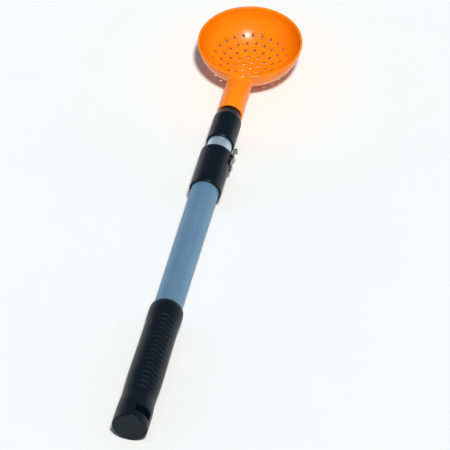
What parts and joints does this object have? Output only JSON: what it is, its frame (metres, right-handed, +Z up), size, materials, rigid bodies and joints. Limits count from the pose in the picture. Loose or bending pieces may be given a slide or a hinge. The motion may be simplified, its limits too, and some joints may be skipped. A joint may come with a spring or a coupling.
{
  "type": "fruit picker basket",
  "caption": "Perforated fruit-picking bowl on a telescopic two-tube pole with a cam lever lock, a connector and a ribbed grip with a hanging slot.",
  "frame": {"origin": "on the rest plane, under the middle of the tool's bounding box", "axes": "+Z up, +Y from the grip towards the bowl, +X to the side that carries the cam lever"},
  "size_m": [0.107, 0.5897, 0.04],
  "materials": {
    "orange_plastic": "glossy moulded plastic",
    "black_plastic": "satin moulded plastic",
    "grip_rubber": "soft satin rubber",
    "outer_alloy": "anodised, satin, blue grey",
    "inner_alloy": "bright drawn",
    "white_nylon": "natural nylon",
    "lever_steel": "plated strip, dulled",
    "pin_steel": "plain steel",
    "screw_steel": "zinc plated",
    "rivet_alloy": "plain"
  },
  "bodies": {
    "handle": {"outer_tube": "outer_alloy", "grip": "grip_rubber", "tube_plug": "black_plastic", "lock_collar": "black_plastic", "guide_liner": "white_nylon", "lever_pin": "pin_steel", "collar_rivet": "rivet_alloy"},
    "lever": {"clamp_lever": "lever_steel"},
    "guide": {"tail_ring": "white_nylon"},
    "mast": {"inner_tube": "inner_alloy", "tail_plug": "black_plastic", "head_connector": "black_plastic", "connector_rivet": "rivet_alloy", "basket_bowl": "orange_plastic", "socket_screw": "screw_steel"}
  },
  "joints": [
    {"name": "lever_flip", "type": "hinge", "parent": "handle", "child": "lever", "pos_m": [0.0154, 0.07744, 0.02349], "axis": [0, 0.0159, -0.9999], "range_deg": [0, 105]},
    {"name": "telescope", "type": "slide", "parent": "handle", "child": "guide", "axis": [0, 0.9999, 0.0159], "range_m": [0, 0.2597]},
    {"name": "basket_swivel", "type": "hinge", "parent": "guide", "child": "mast", "pos_m": [0, 0.24122, 0.0261], "axis": [0, 0.9999, 0.0159], "continuous": true}
  ]
}
